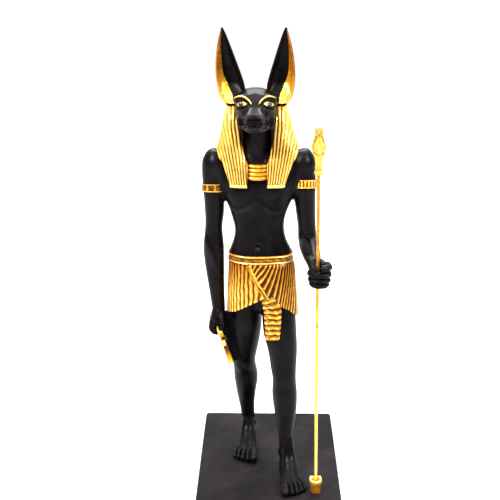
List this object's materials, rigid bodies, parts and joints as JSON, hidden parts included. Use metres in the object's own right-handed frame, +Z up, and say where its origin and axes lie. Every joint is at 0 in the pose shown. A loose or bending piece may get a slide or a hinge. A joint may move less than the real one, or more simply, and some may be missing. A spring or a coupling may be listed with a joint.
{
  "type": "anubis statuette",
  "caption": "Striding jackal-headed figurine in black and gold on a flat slab, gripping a thin staff and an ankh.",
  "frame": {"origin": "middle of the slab's underside", "axes": "+Z up from the slab to the ears; the figure faces -Y, and +X is its own left, where the staff stands"},
  "size_m": [0.092, 0.13, 0.2995],
  "materials": {
    "black_resin": "satin black cast resin, with gold paint over the dress and ornaments",
    "gold_paint": "antique gold paint, darker in the hollows",
    "slab_resin": "flat black cast resin"
  },
  "bodies": {
    "root": {"base": "slab_resin", "figure": "black_resin", "ankh": "gold_paint", "staff_rod": "gold_paint", "staff_head": "gold_paint", "staff_foot": "gold_paint"}
  },
  "joints": []
}
